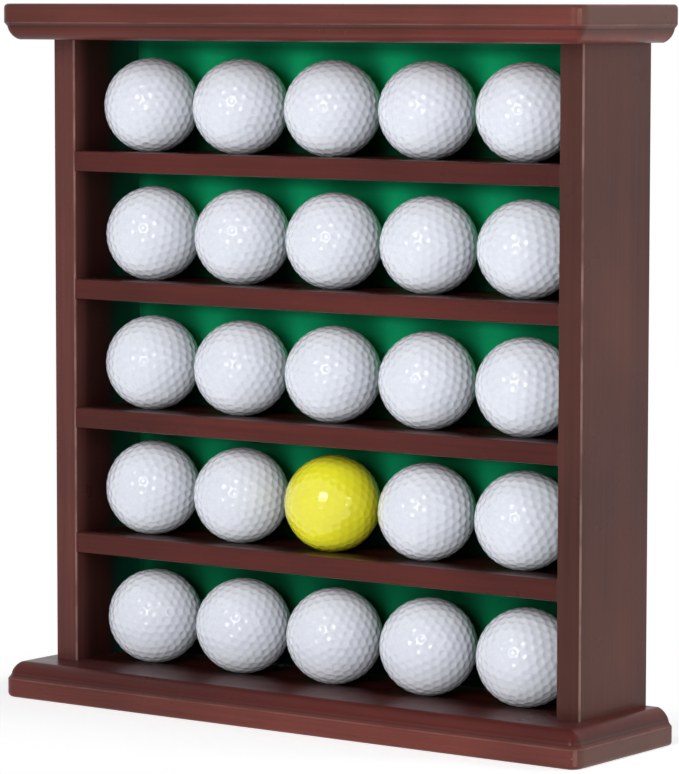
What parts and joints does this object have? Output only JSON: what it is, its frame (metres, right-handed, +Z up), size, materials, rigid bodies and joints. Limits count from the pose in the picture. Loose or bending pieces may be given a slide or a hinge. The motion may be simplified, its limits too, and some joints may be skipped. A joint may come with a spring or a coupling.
{
  "type": "golf ball display case",
  "caption": "Open-fronted mahogany display case with felt-lined bays holding rows of golf balls in shallow coves, between moulded base and cap boards",
  "frame": {"origin": "centre of the base board's footprint, on its underside, which is the face the case rests on", "axes": "+Z up the height of the case, +Y towards the wall behind it, so the open bays face -Y, +X to the right as seen from the front"},
  "size_m": [0.31, 0.0765, 0.3129],
  "materials": {
    "mahogany": "dark red mahogany stain under satin lacquer, eased edges",
    "hardboard": "plain brown hardboard back, matt",
    "green_felt": "short-napped emerald green felt glued to the back panel",
    "beech": "raw fluted beech dowel, matt",
    "steel": "zinc-plated steel, slightly dull",
    "ball_white": "clear-coated white golf ball cover, dimpled, glossy",
    "ball_yellow": "clear-coated optic yellow golf ball cover, dimpled, glossy"
  },
  "bodies": {
    "case": {"base_board": "mahogany", "cap_board": "mahogany", "side_left": "mahogany", "side_right": "mahogany", "shelf_1": "mahogany", "shelf_2": "mahogany", "shelf_3": "mahogany", "shelf_4": "mahogany", "back_panel": "hardboard", "felt_lining": "green_felt", "shelf_dowels": "beech", "cap_dowels": "beech", "base_screws": "steel", "back_pins": "steel", "hanger_left": "steel", "hanger_right": "steel", "hanger_nails": "steel"},
    "ball_row1_col1": {"ball_row1_col1": "ball_white"},
    "ball_row1_col2": {"ball_row1_col2": "ball_white"},
    "ball_row1_col3": {"ball_row1_col3": "ball_white"},
    "ball_row1_col4": {"ball_row1_col4": "ball_white"},
    "ball_row1_col5": {"ball_row1_col5": "ball_white"},
    "ball_row2_col1": {"ball_row2_col1": "ball_white"},
    "ball_row2_col2": {"ball_row2_col2": "ball_white"},
    "ball_row2_col3": {"ball_row2_col3": "ball_white"},
    "ball_row2_col4": {"ball_row2_col4": "ball_white"},
    "ball_row2_col5": {"ball_row2_col5": "ball_white"},
    "ball_row3_col1": {"ball_row3_col1": "ball_white"},
    "ball_row3_col2": {"ball_row3_col2": "ball_white"},
    "ball_row3_col3": {"ball_row3_col3": "ball_white"},
    "ball_row3_col4": {"ball_row3_col4": "ball_white"},
    "ball_row3_col5": {"ball_row3_col5": "ball_white"},
    "ball_row4_col1": {"ball_row4_col1": "ball_white"},
    "ball_row4_col2": {"ball_row4_col2": "ball_white"},
    "ball_row4_col3": {"ball_row4_col3": "ball_yellow"},
    "ball_row4_col4": {"ball_row4_col4": "ball_white"},
    "ball_row4_col5": {"ball_row4_col5": "ball_white"},
    "ball_row5_col1": {"ball_row5_col1": "ball_white"},
    "ball_row5_col2": {"ball_row5_col2": "ball_white"},
    "ball_row5_col3": {"ball_row5_col3": "ball_white"},
    "ball_row5_col4": {"ball_row5_col4": "ball_white"},
    "ball_row5_col5": {"ball_row5_col5": "ball_white"}
  },
  "joints": [
    {"name": "ball_row1_col1_lift", "type": "slide", "parent": "case", "child": "ball_row1_col1", "axis": [0, -0.9816, 0.1908], "range_m": [0, 0.065]},
    {"name": "ball_row1_col2_lift", "type": "slide", "parent": "case", "child": "ball_row1_col2", "axis": [0, -0.9816, 0.1908], "range_m": [0, 0.065]},
    {"name": "ball_row1_col3_lift", "type": "slide", "parent": "case", "child": "ball_row1_col3", "axis": [0, -0.9816, 0.1908], "range_m": [0, 0.065]},
    {"name": "ball_row1_col4_lift", "type": "slide", "parent": "case", "child": "ball_row1_col4", "axis": [0, -0.9816, 0.1908], "range_m": [0, 0.065]},
    {"name": "ball_row1_col5_lift", "type": "slide", "parent": "case", "child": "ball_row1_col5", "axis": [0, -0.9816, 0.1908], "range_m": [0, 0.065]},
    {"name": "ball_row2_col1_lift", "type": "slide", "parent": "case", "child": "ball_row2_col1", "axis": [0, -0.9816, 0.1908], "range_m": [0, 0.065]},
    {"name": "ball_row2_col2_lift", "type": "slide", "parent": "case", "child": "ball_row2_col2", "axis": [0, -0.9816, 0.1908], "range_m": [0, 0.065]},
    {"name": "ball_row2_col3_lift", "type": "slide", "parent": "case", "child": "ball_row2_col3", "axis": [0, -0.9816, 0.1908], "range_m": [0, 0.065]},
    {"name": "ball_row2_col4_lift", "type": "slide", "parent": "case", "child": "ball_row2_col4", "axis": [0, -0.9816, 0.1908], "range_m": [0, 0.065]},
    {"name": "ball_row2_col5_lift", "type": "slide", "parent": "case", "child": "ball_row2_col5", "axis": [0, -0.9816, 0.1908], "range_m": [0, 0.065]},
    {"name": "ball_row3_col1_lift", "type": "slide", "parent": "case", "child": "ball_row3_col1", "axis": [0, -0.9816, 0.1908], "range_m": [0, 0.065]},
    {"name": "ball_row3_col2_lift", "type": "slide", "parent": "case", "child": "ball_row3_col2", "axis": [0, -0.9816, 0.1908], "range_m": [0, 0.065]},
    {"name": "ball_row3_col3_lift", "type": "slide", "parent": "case", "child": "ball_row3_col3", "axis": [0, -0.9816, 0.1908], "range_m": [0, 0.065]},
    {"name": "ball_row3_col4_lift", "type": "slide", "parent": "case", "child": "ball_row3_col4", "axis": [0, -0.9816, 0.1908], "range_m": [0, 0.065]},
    {"name": "ball_row3_col5_lift", "type": "slide", "parent": "case", "child": "ball_row3_col5", "axis": [0, -0.9816, 0.1908], "range_m": [0, 0.065]},
    {"name": "ball_row4_col1_lift", "type": "slide", "parent": "case", "child": "ball_row4_col1", "axis": [0, -0.9816, 0.1908], "range_m": [0, 0.065]},
    {"name": "ball_row4_col2_lift", "type": "slide", "parent": "case", "child": "ball_row4_col2", "axis": [0, -0.9816, 0.1908], "range_m": [0, 0.065]},
    {"name": "ball_row4_col3_lift", "type": "slide", "parent": "case", "child": "ball_row4_col3", "axis": [0, -0.9816, 0.1908], "range_m": [0, 0.065]},
    {"name": "ball_row4_col4_lift", "type": "slide", "parent": "case", "child": "ball_row4_col4", "axis": [0, -0.9816, 0.1908], "range_m": [0, 0.065]},
    {"name": "ball_row4_col5_lift", "type": "slide", "parent": "case", "child": "ball_row4_col5", "axis": [0, -0.9816, 0.1908], "range_m": [0, 0.065]},
    {"name": "ball_row5_col1_lift", "type": "slide", "parent": "case", "child": "ball_row5_col1", "axis": [0, -0.9816, 0.1908], "range_m": [0, 0.065]},
    {"name": "ball_row5_col2_lift", "type": "slide", "parent": "case", "child": "ball_row5_col2", "axis": [0, -0.9816, 0.1908], "range_m": [0, 0.065]},
    {"name": "ball_row5_col3_lift", "type": "slide", "parent": "case", "child": "ball_row5_col3", "axis": [0, -0.9816, 0.1908], "range_m": [0, 0.065]},
    {"name": "ball_row5_col4_lift", "type": "slide", "parent": "case", "child": "ball_row5_col4", "axis": [0, -0.9816, 0.1908], "range_m": [0, 0.065]},
    {"name": "ball_row5_col5_lift", "type": "slide", "parent": "case", "child": "ball_row5_col5", "axis": [0, -0.9816, 0.1908], "range_m": [0, 0.065]}
  ]
}
